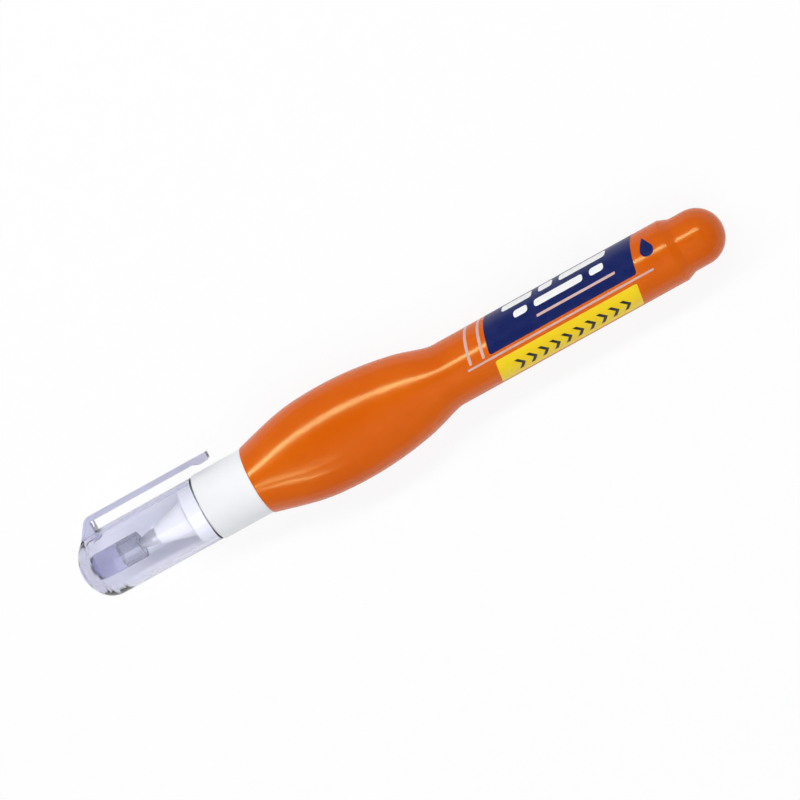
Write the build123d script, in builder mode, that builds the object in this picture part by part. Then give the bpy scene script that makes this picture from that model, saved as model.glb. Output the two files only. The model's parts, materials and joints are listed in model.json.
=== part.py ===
from build123d import *
import math
import os

# Correction pen: a squeeze bottle with a sprung needle valve in its nozzle, under a clear pull-off cap.
# The axis lies along X with the cap towards -X, the clip is on the +Y side, the broad side faces up.

# Bottle
NECK_BORE = 8.6
NECK_WALL = 1.3
NECK_LENGTH = 8.0
NECK_BEAD_HEIGHT = 0.3
NECK_BEAD_LENGTH = 1.4
NECK_BEAD_AT = 4.0
MOUTH_STEP = 0.2
BULGE_WIDTH = 19.3
BULGE_THICKNESS = 15.0
BULGE_CREST_AT = 20.0
BULGE_LENGTH = 44.0
BULGE_CONVEX_SHARE = 0.84
BULGE_FLATNESS = 2.4
BULGE_SECTIONS = 12
OVAL_POINTS = 36
BARREL_DIAMETER = 12.8
BARREL_LENGTH = 48.4
SHOULDER_LENGTH = 2.0
SHOULDER_RADIUS = 0.9
POST_LENGTH = 9.1
POST_END_RADIUS = 2.7
BOTTLE_WALL = 1.0
MOUTH_EDGE_RADIUS = 0.3

# Agitator ball
BALL_DIAMETER = 5.5
BALL_CLEARANCE = 0.1

# Nozzle
COLLAR_LENGTH = 10.0
COLLAR_WALL = 0.9
COLLAR_EDGE_RADIUS = 0.4
NECK_CLEARANCE = 0.05
SPIGOT_LENGTH = 3.7
SPIGOT_EDGE_CHAMFER = 0.4
CONE_BASE_DIAMETER = 7.8
CONE_LENGTH = 7.3
CONE_FRONT_WALL = 0.65
PLUG_WALL = 1.2
PLUG_LENGTH = 3.5
PLUG_CLEARANCE = 0.02

# Needle and metal tip
NEEDLE_DIAMETER = 0.7
NEEDLE_PROTRUSION = 0.6
NEEDLE_STEM_DIAMETER = 1.0
NEEDLE_CLEARANCE = 0.04
SEAT_LENGTH = 0.5
SEAT_CLEARANCE = 0.04
STEM_CLEARANCE = 0.15
TIP_LENGTH = 5.3
TIP_NOSE_WALL = 0.16
TIP_NOSE_LENGTH = 0.9
TIP_LAND_LENGTH = 1.2
TIP_FLANGE = 0.35
TIP_SHANK_WALL = 0.65
TIP_SHANK_LENGTH = 2.8

# Needle carrier
CARRIER_GAP = 0.2
CARRIER_HUB_WALL = 0.5
CARRIER_HUB_LENGTH = 1.6
CARRIER_FLANGE_LENGTH = 0.8
CARRIER_TAIL_LENGTH = 1.4
CARRIER_CLEARANCE = 0.25
CARRIER_FLUTES = 3
CARRIER_FLUTE_WIDTH = 0.7

# Valve spring
CHAMBER_DIAMETER = 3.5
SPRING_LENGTH = 4.0
SPRING_DIAMETER = 2.1
SPRING_WIRE = 0.25
SPRING_WIRE_SIDES = 8
SPRING_TURNS = 5
SPRING_END_GAP = 0.02
SPRING_SIDE_CLEARANCE = 0.17

# Spring retainer
RETAINER_LENGTH = 2.5
RETAINER_LEDGE = 0.55
RETAINER_PIN_LENGTH = 0.8
RETAINER_SLOTS = 3
RETAINER_SLOT_WIDTH = 0.8

# Cap with its clip
CAP_BORE = 11.35
CAP_WALL = 0.95
CAP_FIT_CLEARANCE = 0.075
CAP_SEAT_GAP = 0.2
CAP_TIP_ROOM = 9.6
CAP_CROWN_DEPTH = 4.0
CAP_CORNER_RADIUS = 5.0
CAP_END_WALL = 1.4
CAP_MOUTH_RADIUS = 0.3
BOSS_WALL = 0.8
BOSS_REACH = 1.5
BOSS_ROOT_SHARE = 0.8
SEAL_DIAMETER = 3.8
SEAL_LENGTH = 4.5
SEAL_CLEARANCE = 0.1
CLIP_START = 2.9
CLIP_ROOT_LENGTH = 2.2
CLIP_GAP = 1.85
CLIP_THICKNESS = 1.15
CLIP_OVERHANG = 5.1
CLIP_WIDTH = 4.6
CLIP_END_WIDTH = 3.6
CLIP_CORNER_RADIUS = 0.9
CLIP_END_RADIUS = 1.2
CLIP_BUMP_HEIGHT = 0.55
CLIP_BUMP_LENGTH = 3.2

CUT_OVERRUN = 1.0
GAP_SAMPLES_PER_TURN = 36

# Radii that mating pieces share
neck_bore_radius = NECK_BORE / 2
neck_radius = neck_bore_radius + NECK_WALL
bead_radius = neck_radius + NECK_BEAD_HEIGHT
collar_bore_radius = neck_radius + NECK_CLEARANCE
groove_radius = bead_radius + NECK_CLEARANCE
collar_radius = groove_radius + COLLAR_WALL
mouth_radius = collar_radius + MOUTH_STEP
barrel_radius = BARREL_DIAMETER / 2
barrel_bore_radius = barrel_radius - BOTTLE_WALL
cap_bore_radius = CAP_BORE / 2
cap_radius = cap_bore_radius + CAP_WALL
cap_fit_radius = cap_bore_radius - CAP_FIT_CLEARANCE
plug_radius = neck_bore_radius - PLUG_CLEARANCE
feed_radius = plug_radius - PLUG_WALL
needle_radius = NEEDLE_DIAMETER / 2
stem_radius = NEEDLE_STEM_DIAMETER / 2
nose_bore_radius = needle_radius + NEEDLE_CLEARANCE
nose_radius = nose_bore_radius + TIP_NOSE_WALL
stem_bore_radius = stem_radius + STEM_CLEARANCE
shank_radius = stem_bore_radius + TIP_SHANK_WALL
tip_radius = shank_radius + TIP_FLANGE
cone_front_radius = shank_radius + CONE_FRONT_WALL
chamber_radius = CHAMBER_DIAMETER / 2
retainer_radius = chamber_radius + RETAINER_LEDGE
spring_radius = SPRING_DIAMETER / 2
spring_guide_radius = spring_radius - SPRING_WIRE / 2 - SPRING_SIDE_CLEARANCE
hub_radius = stem_radius + CARRIER_HUB_WALL
flange_radius = chamber_radius - CARRIER_CLEARANCE
seal_radius = SEAL_DIAMETER / 2
boss_radius = seal_radius + BOSS_WALL
clip_under = cap_radius + CLIP_GAP
clip_top = clip_under + CLIP_THICKNESS

# Stations along the axis, with the middle of the whole length at zero
nozzle_length = COLLAR_LENGTH + SPIGOT_LENGTH + CONE_LENGTH
front_length = nozzle_length + TIP_LENGTH + NEEDLE_PROTRUSION + CAP_TIP_ROOM
body_length = BULGE_LENGTH + BARREL_LENGTH + SHOULDER_LENGTH + POST_LENGTH
x_mouth = (front_length - body_length) / 2
x_neck_front = x_mouth - NECK_LENGTH
x_bead = x_mouth - NECK_BEAD_AT
x_barrel = x_mouth + BULGE_LENGTH
x_shoulder = x_barrel + BARREL_LENGTH
x_post = x_shoulder + SHOULDER_LENGTH
x_rear = x_post + POST_LENGTH
x_collar_front = x_mouth - COLLAR_LENGTH
x_spigot_front = x_collar_front - SPIGOT_LENGTH
x_cone_front = x_spigot_front - CONE_LENGTH
x_tip_front = x_cone_front - TIP_LENGTH
x_needle_front = x_tip_front - NEEDLE_PROTRUSION
x_plug_rear = x_neck_front + PLUG_LENGTH
x_shank_rear = x_cone_front + TIP_SHANK_LENGTH
x_hub_front = x_shank_rear + CARRIER_GAP
x_flange_front = x_hub_front + CARRIER_HUB_LENGTH
x_flange_rear = x_flange_front + CARRIER_FLANGE_LENGTH
x_tail_rear = x_flange_rear + CARRIER_TAIL_LENGTH
x_retainer_front = x_flange_rear + SPRING_LENGTH
x_retainer_rear = x_retainer_front + RETAINER_LENGTH
x_seat = x_tip_front + TIP_NOSE_LENGTH
x_cap_mouth = x_collar_front - CAP_SEAT_GAP
x_cap_front = x_needle_front - CAP_TIP_ROOM
x_vault = x_cap_front + CAP_END_WALL
x_boss_root = x_cap_front + CAP_END_WALL * BOSS_ROOT_SHARE
x_boss_rear = x_tip_front + BOSS_REACH
x_seal_front = x_boss_rear - SEAL_LENGTH
x_clip_front = x_cap_front + CLIP_START
x_clip_end = x_cap_mouth + CLIP_OVERHANG


def bulge_half_axis(station, crest):
    """Half axis of the oval bulge: an arch up from the mouth, then an S-curve down to the barrel."""
    if station <= BULGE_CREST_AT:
        drop = (1 - station / BULGE_CREST_AT) ** 2
        return crest - (crest - mouth_radius) * drop
    run = (station - BULGE_CREST_AT) / (BULGE_LENGTH - BULGE_CREST_AT)
    if run < BULGE_CONVEX_SHARE:
        rise = 1 - run**2 / BULGE_CONVEX_SHARE
    else:
        rise = (1 - run) ** 2 / (1 - BULGE_CONVEX_SHARE)
    return barrel_radius + (crest - barrel_radius) * rise


def oval_points(station, inset):
    """Points round the bulge's section: an oval with flattened broad sides, rounder towards the ends."""
    half_width = bulge_half_axis(station, BULGE_WIDTH / 2)
    half_thickness = bulge_half_axis(station, BULGE_THICKNESS / 2)
    spread = 2 * (half_width - half_thickness) / (BULGE_WIDTH - BULGE_THICKNESS)
    power = 2 / (2 + (BULGE_FLATNESS - 2) * spread)
    points = []
    for i in range(OVAL_POINTS):
        cosine = math.cos(2 * math.pi * i / OVAL_POINTS)
        sine = math.sin(2 * math.pi * i / OVAL_POINTS)
        across = math.copysign(abs(cosine) ** power, cosine)
        up = math.copysign(abs(sine) ** power, sine)
        points.append(((half_width - inset) * across, (half_thickness - inset) * up))
    return points


def tip_cone_radius(x):
    """Outside radius of the metal tip's cone at a station."""
    cone_run = TIP_LENGTH - TIP_LAND_LENGTH
    return nose_radius + (tip_radius - nose_radius) * (x - x_tip_front) / cone_run


# Bottle: lofted bulge of flattened ovals with a turned neck, barrel and rear post, hollowed to an even wall
outer_stations = [BULGE_LENGTH * i / BULGE_SECTIONS for i in range(BULGE_SECTIONS + 1)]
inner_run = BULGE_LENGTH - BOTTLE_WALL
inner_stations = [BOTTLE_WALL + inner_run * i / BULGE_SECTIONS for i in range(BULGE_SECTIONS + 1)]

with BuildPart() as bottle:
    with BuildSketch(Plane.YZ.offset(x_mouth)):
        Circle(mouth_radius)
    for station in outer_stations[1:-1]:
        with BuildSketch(Plane.YZ.offset(x_mouth + station)):
            with BuildLine():
                Spline(*oval_points(station, 0), periodic=True)
            make_face()
    with BuildSketch(Plane.YZ.offset(x_barrel)):
        Circle(barrel_radius)
    loft()
    mouth_rim = bottle.edges().group_by(Axis.X)[0]
    fillet(mouth_rim, MOUTH_EDGE_RADIUS)
    with BuildSketch(Plane.XY) as rear_profile:
        with BuildLine():
            Polyline(
                (x_barrel, 0),
                (x_barrel, barrel_radius),
                (x_shoulder, barrel_radius),
                (x_post, cap_fit_radius),
                (x_rear, cap_fit_radius),
                (x_rear, 0),
                close=True,
            )
        make_face()
        fillet(rear_profile.vertices().group_by(Axis.X)[-1].sort_by(Axis.Y)[-1], POST_END_RADIUS)
        shoulder_corners = rear_profile.vertices().group_by(Axis.X)[1:3]
        fillet(shoulder_corners[0] + shoulder_corners[1], SHOULDER_RADIUS)
    revolve(axis=Axis.X)
    with BuildSketch(Plane.XY):
        with BuildLine():
            Polyline(
                (x_mouth + BOTTLE_WALL, 0),
                (x_mouth + BOTTLE_WALL, neck_radius),
                (x_bead + NECK_BEAD_LENGTH / 2, neck_radius),
                (x_bead, bead_radius),
                (x_bead - NECK_BEAD_LENGTH / 2, neck_radius),
                (x_neck_front, neck_radius),
                (x_neck_front, 0),
                close=True,
            )
        make_face()
    revolve(axis=Axis.X)
    for station in inner_stations[:-1]:
        with BuildSketch(Plane.YZ.offset(x_mouth + station)):
            with BuildLine():
                Spline(*oval_points(station, BOTTLE_WALL), periodic=True)
            make_face()
    with BuildSketch(Plane.YZ.offset(x_barrel)):
        Circle(barrel_bore_radius)
    loft(mode=Mode.SUBTRACT)
    with BuildSketch(Plane.XY) as bore_profile:
        with BuildLine():
            Polyline(
                (x_barrel, 0),
                (x_barrel, barrel_bore_radius),
                (x_shoulder, barrel_bore_radius),
                (x_post, cap_fit_radius - BOTTLE_WALL),
                (x_rear - BOTTLE_WALL, cap_fit_radius - BOTTLE_WALL),
                (x_rear - BOTTLE_WALL, 0),
                close=True,
            )
        make_face()
        bore_end = bore_profile.vertices().group_by(Axis.X)[-1].sort_by(Axis.Y)[-1]
        fillet(bore_end, POST_END_RADIUS - BOTTLE_WALL)
    revolve(axis=Axis.X, mode=Mode.SUBTRACT)
    with BuildSketch(Plane.YZ.offset(x_neck_front)):
        Circle(neck_bore_radius)
    extrude(amount=NECK_LENGTH + 2 * BOTTLE_WALL, mode=Mode.SUBTRACT)

# Agitator ball: lies loose on the floor of the barrel, at its rear end
ball_x = x_shoulder - BALL_DIAMETER / 2
ball_z = BALL_DIAMETER / 2 + BALL_CLEARANCE - barrel_bore_radius

with BuildPart() as agitator_ball:
    with Locations((ball_x, 0, ball_z)):
        Sphere(BALL_DIAMETER / 2)

# Nozzle: collar that snaps over the neck, spigot for the cap, and cone with the valve chamber
with BuildPart() as nozzle:
    with BuildSketch(Plane.XY):
        with BuildLine():
            Polyline(
                (x_mouth, collar_bore_radius),
                (x_mouth, collar_radius),
                (x_collar_front, collar_radius),
                (x_collar_front, cap_fit_radius),
                (x_spigot_front, cap_fit_radius),
                (x_spigot_front, CONE_BASE_DIAMETER / 2),
                (x_cone_front, cone_front_radius),
                (x_cone_front, shank_radius),
                (x_shank_rear, shank_radius),
                (x_shank_rear, chamber_radius),
                (x_retainer_front, chamber_radius),
                (x_retainer_front, retainer_radius),
                (x_retainer_rear, retainer_radius),
                (x_retainer_rear, feed_radius),
                (x_plug_rear, feed_radius),
                (x_plug_rear, plug_radius),
                (x_neck_front - NECK_CLEARANCE, plug_radius),
                (x_neck_front - NECK_CLEARANCE, collar_bore_radius),
                (x_bead - NECK_BEAD_LENGTH / 2, collar_bore_radius),
                (x_bead, groove_radius),
                (x_bead + NECK_BEAD_LENGTH / 2, collar_bore_radius),
                close=True,
            )
        make_face()
    revolve(axis=Axis.X)
    rims = nozzle.edges().filter_by(GeomType.CIRCLE)
    collar_rims = rims.filter_by(lambda rim: math.isclose(rim.radius, collar_radius)).sort_by(Axis.X)
    fillet(collar_rims[0], COLLAR_EDGE_RADIUS)
    spigot_rims = rims.filter_by(lambda rim: math.isclose(rim.radius, cap_fit_radius)).sort_by(Axis.X)
    chamfer(spigot_rims[0], SPIGOT_EDGE_CHAMFER)

# Metal tip: turned nose with an inner cone as the valve seat, and a shank pressed in the nozzle
with BuildPart() as metal_tip:
    with BuildSketch(Plane.XY):
        with BuildLine():
            Polyline(
                (x_tip_front, nose_bore_radius),
                (x_tip_front, nose_radius),
                (x_cone_front - TIP_LAND_LENGTH, tip_radius),
                (x_cone_front, tip_radius),
                (x_cone_front, shank_radius),
                (x_shank_rear, shank_radius),
                (x_shank_rear, stem_bore_radius),
                (x_seat + SEAT_LENGTH, stem_bore_radius),
                (x_seat, nose_bore_radius),
                close=True,
            )
        make_face()
    revolve(axis=Axis.X)

# Valve needle: round-nosed pin on a thicker stem, its shoulder just off the seat
x_needle_shoulder = x_seat + SEAT_CLEARANCE

with BuildPart() as valve_needle:
    with BuildSketch(Plane.XY):
        with BuildLine():
            point = EllipticalCenterArc(
                (x_needle_front + needle_radius, 0), needle_radius, needle_radius, 90, arc_size=90
            )
            Polyline(
                point @ 0,
                (x_needle_shoulder, needle_radius),
                (x_needle_shoulder + SEAT_LENGTH, stem_radius),
                (x_flange_rear, stem_radius),
                (x_flange_rear, 0),
                point @ 1,
            )
        make_face()
    revolve(axis=Axis.X)

# Needle carrier: hub on the needle's stem, fluted flange for the spring, and a tail inside it
with BuildPart() as needle_carrier:
    with BuildSketch(Plane.XY):
        with BuildLine():
            Polyline(
                (x_hub_front, stem_radius),
                (x_hub_front, hub_radius),
                (x_flange_front, hub_radius),
                (x_flange_front, flange_radius),
                (x_flange_rear, flange_radius),
                (x_flange_rear, spring_guide_radius),
                (x_tail_rear, spring_guide_radius),
                (x_tail_rear, 0),
                (x_flange_rear, 0),
                (x_flange_rear, stem_radius),
                close=True,
            )
        make_face()
    revolve(axis=Axis.X)
    with BuildSketch(Plane.YZ.offset(x_flange_front)):
        with PolarLocations(flange_radius, CARRIER_FLUTES):
            Rectangle(flange_radius - hub_radius, CARRIER_FLUTE_WIDTH)
    extrude(amount=CARRIER_FLANGE_LENGTH, mode=Mode.SUBTRACT)

# Valve spring: one many-sided wire along a helix, laid as pairs of arcs over each quarter turn
coil_start = x_flange_rear + SPRING_WIRE / 2 + SPRING_END_GAP
coil_height = SPRING_LENGTH - SPRING_WIRE - 2 * SPRING_END_GAP
coil_pitch = coil_height / SPRING_TURNS


def coil_point(turn):
    """Point of the spring's centre line after a number of turns."""
    angle = 2 * math.pi * turn
    return Vector(
        coil_start + coil_pitch * turn,
        spring_radius * math.cos(angle),
        spring_radius * math.sin(angle),
    )


def coil_direction(turn):
    """Unit direction of the spring's centre line after a number of turns."""
    angle = 2 * math.pi * turn
    around = 2 * math.pi * spring_radius
    return Vector(coil_pitch, -around * math.sin(angle), around * math.cos(angle)).normalized()


def biarc_middle(start, start_direction, end, end_direction):
    """Point where two arcs meet that leave start and reach end in the given directions."""
    chord = end - start
    total = start_direction + end_direction
    bend = 2 * (1 - start_direction.dot(end_direction))
    along = chord.dot(total)
    handle = (math.sqrt(along**2 + bend * chord.dot(chord)) - along) / bend
    return (start + start_direction * handle + end - end_direction * handle) / 2


with BuildPart() as valve_spring:
    with BuildLine():
        for quarter in range(4 * SPRING_TURNS):
            start, end = coil_point(quarter / 4), coil_point((quarter + 1) / 4)
            start_direction = coil_direction(quarter / 4)
            end_direction = coil_direction((quarter + 1) / 4)
            middle = biarc_middle(start, start_direction, end, end_direction)
            first_arc = TangentArc(start, middle, tangent=start_direction)
            TangentArc(middle, end, tangent=first_arc % 1)
    with BuildSketch(Plane(origin=coil_point(0), z_dir=coil_direction(0))):
        RegularPolygon(SPRING_WIRE / 2, SPRING_WIRE_SIDES)
    sweep()

coil_samples = [coil_point(i / GAP_SAMPLES_PER_TURN) for i in range(SPRING_TURNS * GAP_SAMPLES_PER_TURN + 1)]
coil_gap = min(
    (near - far).length - SPRING_WIRE
    for i, near in enumerate(coil_samples)
    for far in coil_samples[i + GAP_SAMPLES_PER_TURN // 2 :]
)
print(f"valve spring: least gap between turns {coil_gap:.3f} mm")

# Spring retainer: slotted plug with a short pin that centres the spring
with BuildPart() as spring_retainer:
    with BuildSketch(Plane.XY):
        with BuildLine():
            Polyline(
                (x_retainer_front - RETAINER_PIN_LENGTH, 0),
                (x_retainer_front - RETAINER_PIN_LENGTH, spring_guide_radius),
                (x_retainer_front, spring_guide_radius),
                (x_retainer_front, retainer_radius),
                (x_retainer_rear, retainer_radius),
                (x_retainer_rear, 0),
                close=True,
            )
        make_face()
    revolve(axis=Axis.X)
    slot_depth = retainer_radius - spring_radius - SPRING_WIRE / 2
    with BuildSketch(Plane.YZ.offset(x_retainer_front)):
        with PolarLocations(retainer_radius, RETAINER_SLOTS):
            Rectangle(2 * slot_depth, RETAINER_SLOT_WIDTH)
    extrude(amount=RETAINER_LENGTH, mode=Mode.SUBTRACT)

# Clip: side view with a rounded root and a bump at the free end, narrowed in plan view
with BuildPart() as clip_blade:
    with BuildSketch(Plane.XY) as side_view:
        with BuildLine():
            bump_start = (x_clip_end - CLIP_BUMP_LENGTH, clip_under)
            bump_top = (x_clip_end - CLIP_BUMP_LENGTH / 2, clip_under - CLIP_BUMP_HEIGHT)
            ThreePointArc(bump_start, bump_top, (x_clip_end, clip_under))
            Polyline(
                (x_clip_end, clip_under),
                (x_clip_end, clip_top),
                (x_clip_front, clip_top),
                (x_clip_front, 0),
                (x_clip_front + CLIP_ROOT_LENGTH, 0),
                (x_clip_front + CLIP_ROOT_LENGTH, clip_under),
                bump_start,
            )
        make_face()
        fillet(side_view.vertices().group_by(Axis.Y)[-1].sort_by(Axis.X)[0], CLIP_CORNER_RADIUS)
    extrude(amount=CLIP_WIDTH / 2, both=True)
    with BuildSketch(Plane.XZ) as plan_view:
        with BuildLine():
            Polyline(
                (x_clip_front, -CLIP_WIDTH / 2),
                (x_clip_end, -CLIP_END_WIDTH / 2),
                (x_clip_end, CLIP_END_WIDTH / 2),
                (x_clip_front, CLIP_WIDTH / 2),
                close=True,
            )
        make_face()
        fillet(plan_view.vertices().group_by(Axis.X)[-1], CLIP_END_RADIUS)
    extrude(amount=-clip_top - CUT_OVERRUN, mode=Mode.INTERSECT)

# Cap: domed tube with the clip, hollowed to its bore, with an inner boss that holds the seal
with BuildPart() as cap:
    with BuildSketch(Plane.XY) as dome_profile:
        with BuildLine():
            crown = TangentArc((x_cap_front, 0), (x_cap_front + CAP_CROWN_DEPTH, cap_radius), tangent=(0, 1))
            Polyline(crown @ 1, (x_cap_mouth, cap_radius), (x_cap_mouth, 0), crown @ 0)
        make_face()
        fillet(dome_profile.vertices().sort_by_distance(crown @ 1)[0], CAP_CORNER_RADIUS)
    revolve(axis=Axis.X)
    mouth_edge = cap.edges().filter_by(GeomType.CIRCLE).group_by(Axis.X)[-1]
    fillet(mouth_edge, CAP_MOUTH_RADIUS)
    add(clip_blade.part)
    with BuildSketch(Plane.XY) as vault_profile:
        with BuildLine():
            vault = TangentArc((x_vault, 0), (x_vault + CAP_CROWN_DEPTH, cap_bore_radius), tangent=(0, 1))
            Polyline(
                vault @ 1,
                (x_cap_mouth + CUT_OVERRUN, cap_bore_radius),
                (x_cap_mouth + CUT_OVERRUN, 0),
                vault @ 0,
            )
        make_face()
        fillet(vault_profile.vertices().sort_by_distance(vault @ 1)[0], CAP_CORNER_RADIUS - CAP_WALL)
    revolve(axis=Axis.X, mode=Mode.SUBTRACT)
    with BuildSketch(Plane.XY):
        with BuildLine():
            Polyline(
                (x_boss_root, 0),
                (x_boss_root, boss_radius),
                (x_boss_rear, boss_radius),
                (x_boss_rear, seal_radius),
                (x_seal_front, seal_radius),
                (x_seal_front, 0),
                close=True,
            )
        make_face()
    revolve(axis=Axis.X)

# Cap seal: soft plug whose recess follows the nose of the metal tip and the needle's point
nose_recess_radius = nose_radius + SEAL_CLEARANCE
point_recess_radius = needle_radius + SEAL_CLEARANCE

with BuildPart() as cap_seal:
    with BuildSketch(Plane.XY):
        with BuildLine():
            Polyline(
                (x_seal_front, 0),
                (x_seal_front, seal_radius),
                (x_boss_rear, seal_radius),
                (x_boss_rear, tip_cone_radius(x_boss_rear) + SEAL_CLEARANCE),
                (x_tip_front - SEAL_CLEARANCE, nose_recess_radius),
                (x_tip_front - SEAL_CLEARANCE, point_recess_radius),
                (x_needle_front - SEAL_CLEARANCE, point_recess_radius),
                (x_needle_front - SEAL_CLEARANCE, 0),
                close=True,
            )
        make_face()
    revolve(axis=Axis.X)

pieces = {
    "bottle": bottle,
    "agitator_ball": agitator_ball,
    "nozzle": nozzle,
    "metal_tip": metal_tip,
    "valve_needle": valve_needle,
    "needle_carrier": needle_carrier,
    "valve_spring": valve_spring,
    "spring_retainer": spring_retainer,
    "cap": cap,
    "cap_seal": cap_seal,
}

os.makedirs("parts", exist_ok=True)
for name, piece in pieces.items():
    piece.part.label = name
    export_step(piece.part, f"parts/{name}.step")
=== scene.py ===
# %% [markdown]
# Correction pen
#
# A correction pen is a soft squeeze bottle with a sprung needle valve in its nose. A clear cap with a
# pocket clip covers the nose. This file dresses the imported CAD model: here the solids get their finishes,
# their last easing of form, their print, the studio and the camera. Everything is in metres, in the
# CAD's own frame: the axis of the pen lies along X with the cap towards -X, the clip is on the +Y side.

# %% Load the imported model
import json
import math

import bmesh
import bpy
from mathutils import Matrix, Vector


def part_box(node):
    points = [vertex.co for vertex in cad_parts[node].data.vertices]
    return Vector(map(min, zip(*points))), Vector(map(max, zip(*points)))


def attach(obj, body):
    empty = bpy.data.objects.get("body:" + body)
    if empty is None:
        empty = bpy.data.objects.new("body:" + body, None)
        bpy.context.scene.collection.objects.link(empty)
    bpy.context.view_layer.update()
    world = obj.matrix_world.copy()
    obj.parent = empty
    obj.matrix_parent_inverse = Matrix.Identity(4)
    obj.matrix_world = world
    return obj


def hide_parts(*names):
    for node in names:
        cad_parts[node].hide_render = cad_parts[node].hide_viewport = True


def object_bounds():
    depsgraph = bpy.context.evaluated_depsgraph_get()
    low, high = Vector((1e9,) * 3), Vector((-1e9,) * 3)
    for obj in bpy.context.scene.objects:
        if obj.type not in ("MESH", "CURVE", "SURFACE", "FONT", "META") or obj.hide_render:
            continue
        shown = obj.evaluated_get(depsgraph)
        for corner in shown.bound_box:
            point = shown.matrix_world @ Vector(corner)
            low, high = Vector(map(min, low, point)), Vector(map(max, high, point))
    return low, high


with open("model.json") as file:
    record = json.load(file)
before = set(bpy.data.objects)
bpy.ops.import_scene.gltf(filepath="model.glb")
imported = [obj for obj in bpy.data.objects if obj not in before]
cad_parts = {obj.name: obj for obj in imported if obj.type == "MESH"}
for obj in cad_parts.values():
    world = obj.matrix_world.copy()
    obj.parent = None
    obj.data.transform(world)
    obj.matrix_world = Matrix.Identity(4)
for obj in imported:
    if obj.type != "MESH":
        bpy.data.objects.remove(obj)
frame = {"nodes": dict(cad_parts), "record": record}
cad_low, cad_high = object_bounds()
nodes = frame["nodes"]
MM = 0.001
print("nodes:", sorted(nodes))
print("size in mm:", [round(side / MM, 2) for side in cad_high - cad_low])

# %% [markdown]
# Measures
#
# The eased forms and the print need a few places on the pen. They could be typed here, but they are read
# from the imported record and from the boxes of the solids, so a change of the CAD moves them along.

# %% Read the places that the scene needs
mounts = {mount["name"]: mount for mount in frame["record"]["mounts"]}
barrel_radius = mounts["barrel"]["dims"]["r_mm"] * MM
barrel_length = mounts["barrel"]["dims"]["length_mm"] * MM
barrel_front = mounts["barrel"]["pos_m"][0] - barrel_length / 2
post_radius = mounts["rear_post"]["dims"]["r_mm"] * MM
bottle_low, bottle_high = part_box("bottle")
cap_low, cap_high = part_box("cap")
print(f"bottle from {bottle_low.x / MM:.1f} to {bottle_high.x / MM:.1f} mm")
print(f"barrel from {barrel_front / MM:.1f} mm, radius {barrel_radius / MM:.2f} mm")

# %% [markdown]
# Node helpers
#
# Every finish here is a node tree. Such trees could be drawn by hand in the editor, but a script can be
# read and run again. Small helpers keep it short: they add a node, do sums, bring one span of values
# smoothly to another, make noise, mix two colours, and open and close a node group.


# %% Helpers for nodes
def add_node(tree, kind, inputs=None, **settings):
    """Adds a node, sets its settings, and sets or links its inputs by name or number."""
    node = tree.nodes.new(kind)
    for setting, value in settings.items():
        setattr(node, setting, value)
    for key, value in (inputs or {}).items():
        if isinstance(value, bpy.types.NodeSocket):
            tree.links.new(value, node.inputs[key])
        else:
            node.inputs[key].default_value = value
    return node


def math_node(tree, operation, first, second=0.0):
    """The result of a Math node."""
    return add_node(tree, "ShaderNodeMath", {0: first, 1: second}, operation=operation).outputs[0]


def remap(tree, value, span, result=(0.0, 1.0)):
    """A smooth Map Range from one span of values to another."""
    ends = {"From Min": span[0], "From Max": span[1], "To Min": result[0], "To Max": result[1]}
    node = add_node(tree, "ShaderNodeMapRange", {"Value": value, **ends}, interpolation_type="SMOOTHSTEP")
    return node.outputs["Result"]


def noise(tree, place, scale, detail):
    """The value of a noise texture at a place."""
    inputs = {"Vector": place, "Scale": scale, "Detail": detail}
    return add_node(tree, "ShaderNodeTexNoise", inputs).outputs["Fac"]


def mix_colours(tree, share, first, second):
    """The first colour with a share of the second one mixed in."""
    inputs = {"Factor": share, 6: first, 7: second}
    return add_node(tree, "ShaderNodeMix", inputs, data_type="RGBA").outputs[2]


print("node helpers ready")

# %% Helpers for node groups
FLOAT, COLOUR = "NodeSocketFloat", "NodeSocketColor"
OUTPUTS = [("Colour", COLOUR), ("Roughness", FLOAT), ("Height", FLOAT)]
NOISE_SPAN = (0.3, 0.7)


def new_group(name, inputs):
    """An empty node group for a finish, with named sockets, and its two end nodes."""
    tree = bpy.data.node_groups.new(name, "ShaderNodeTree")
    for socket, kind, value in inputs:
        made = tree.interface.new_socket(socket, in_out="INPUT", socket_type=kind)
        made.default_value = value
    for socket, kind in OUTPUTS:
        tree.interface.new_socket(socket, in_out="OUTPUT", socket_type=kind)
    return tree, tree.nodes.new("NodeGroupInput"), tree.nodes.new("NodeGroupOutput")


def close_group(tree, end, *results):
    """Links a colour, a roughness and a height to the outputs of a group."""
    for (socket, _), result in zip(OUTPUTS, results):
        tree.links.new(result, end.inputs[socket])
    print("group", tree.name, "with", len(tree.nodes), "nodes")


print("outputs of each group:", ", ".join(socket for socket, _ in OUTPUTS))

# %% [markdown]
# Moulded skin
#
# All the plastic of the pen is moulded. Up close such a skin has a fine orange peel from the mould, broad
# clouds where the wall is thicker or the colour is mixed unevenly, and hair scratches along the pen from
# pockets and drawers. Each plastic could have its own tree for this, but all of them share these three,
# so they are one node group, and each plastic sets its own sizes on it.

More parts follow.
